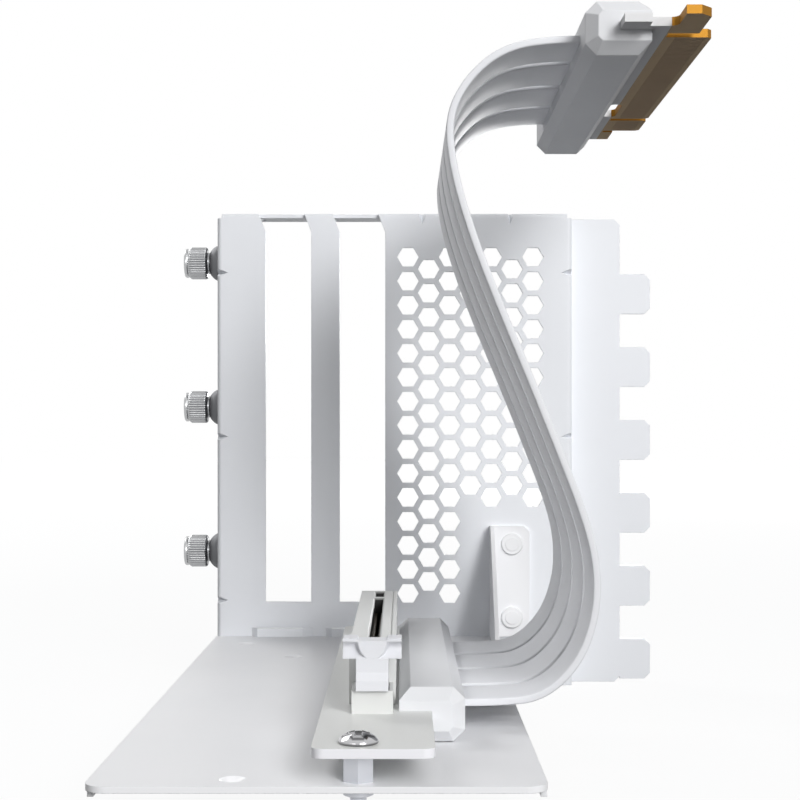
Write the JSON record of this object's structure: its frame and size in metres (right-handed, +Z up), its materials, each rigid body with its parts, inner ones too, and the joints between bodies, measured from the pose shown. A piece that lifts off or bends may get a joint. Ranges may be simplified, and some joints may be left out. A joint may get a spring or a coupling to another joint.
{
  "type": "vertical gpu mount",
  "caption": "Vertical graphics card mount: folded grille plate with card windows and case tabs, riveted base, card slot with latch, and a ribbon riser ending in a card edge.",
  "frame": {"origin": "on the middle thumbscrew's axis, halfway along its free thread", "axes": "+X along the thumbscrews into the case frame, +Y to the back of the case, +Z up"},
  "size_m": [0.1309, 0.1908, 0.1489],
  "materials": {
    "painted_steel": "satin",
    "painted_rivet": "satin",
    "zinc_ferrule": "satin",
    "nickel_screw": "polished",
    "white_board": "satin",
    "white_connector": "satin",
    "gold_contact": "satin",
    "white_latch": "satin",
    "bright_standoff": "satin",
    "chrome_screw": "polished",
    "moulded_housing": "satin",
    "ribbon_jacket": "satin",
    "edge_board": "satin",
    "gold_finger": "polished"
  },
  "bodies": {
    "mount": {"rear_plate": "painted_steel", "base_plate": "painted_steel", "rivet_upper": "painted_rivet", "rivet_lower": "painted_rivet", "screw_ferrule_upper": "zinc_ferrule", "screw_ferrule_middle": "zinc_ferrule", "screw_ferrule_lower": "zinc_ferrule", "riser_board": "white_board", "gpu_slot": "white_connector", "slot_contacts_left": "gold_contact", "slot_contacts_right": "gold_contact", "standoff_front": "bright_standoff", "standoff_rear": "bright_standoff", "board_screw_front": "chrome_screw", "board_screw_rear": "chrome_screw", "lower_housing": "moulded_housing", "upper_housing": "moulded_housing", "ribbon_strip_1": "ribbon_jacket", "ribbon_strip_2": "ribbon_jacket", "ribbon_strip_3": "ribbon_jacket", "ribbon_strip_4": "ribbon_jacket", "edge_board": "edge_board", "edge_fingers_lower": "gold_finger", "edge_fingers_upper": "gold_finger"},
    "latch": {"slot_latch": "white_latch"},
    "screw_upper": {"thumbscrew_upper": "nickel_screw"},
    "screw_middle": {"thumbscrew_middle": "nickel_screw"},
    "screw_lower": {"thumbscrew_lower": "nickel_screw"}
  },
  "joints": [
    {"name": "latch_hinge", "type": "hinge", "parent": "mount", "child": "latch", "pos_m": [0.04145, -0.1505, -0.05485], "axis": [1, 0, 0], "range_deg": [0, 15]},
    {"name": "upper_screw_spin", "type": "hinge", "parent": "mount", "child": "screw_upper", "pos_m": [0, 0, 0.04064], "axis": [1, 0, 0], "continuous": true},
    {"name": "middle_screw_spin", "type": "hinge", "parent": "mount", "child": "screw_middle", "pos_m": [0, 0, 0], "axis": [1, 0, 0], "continuous": true},
    {"name": "lower_screw_spin", "type": "hinge", "parent": "mount", "child": "screw_lower", "pos_m": [0, 0, -0.04064], "axis": [1, 0, 0], "continuous": true}
  ]
}
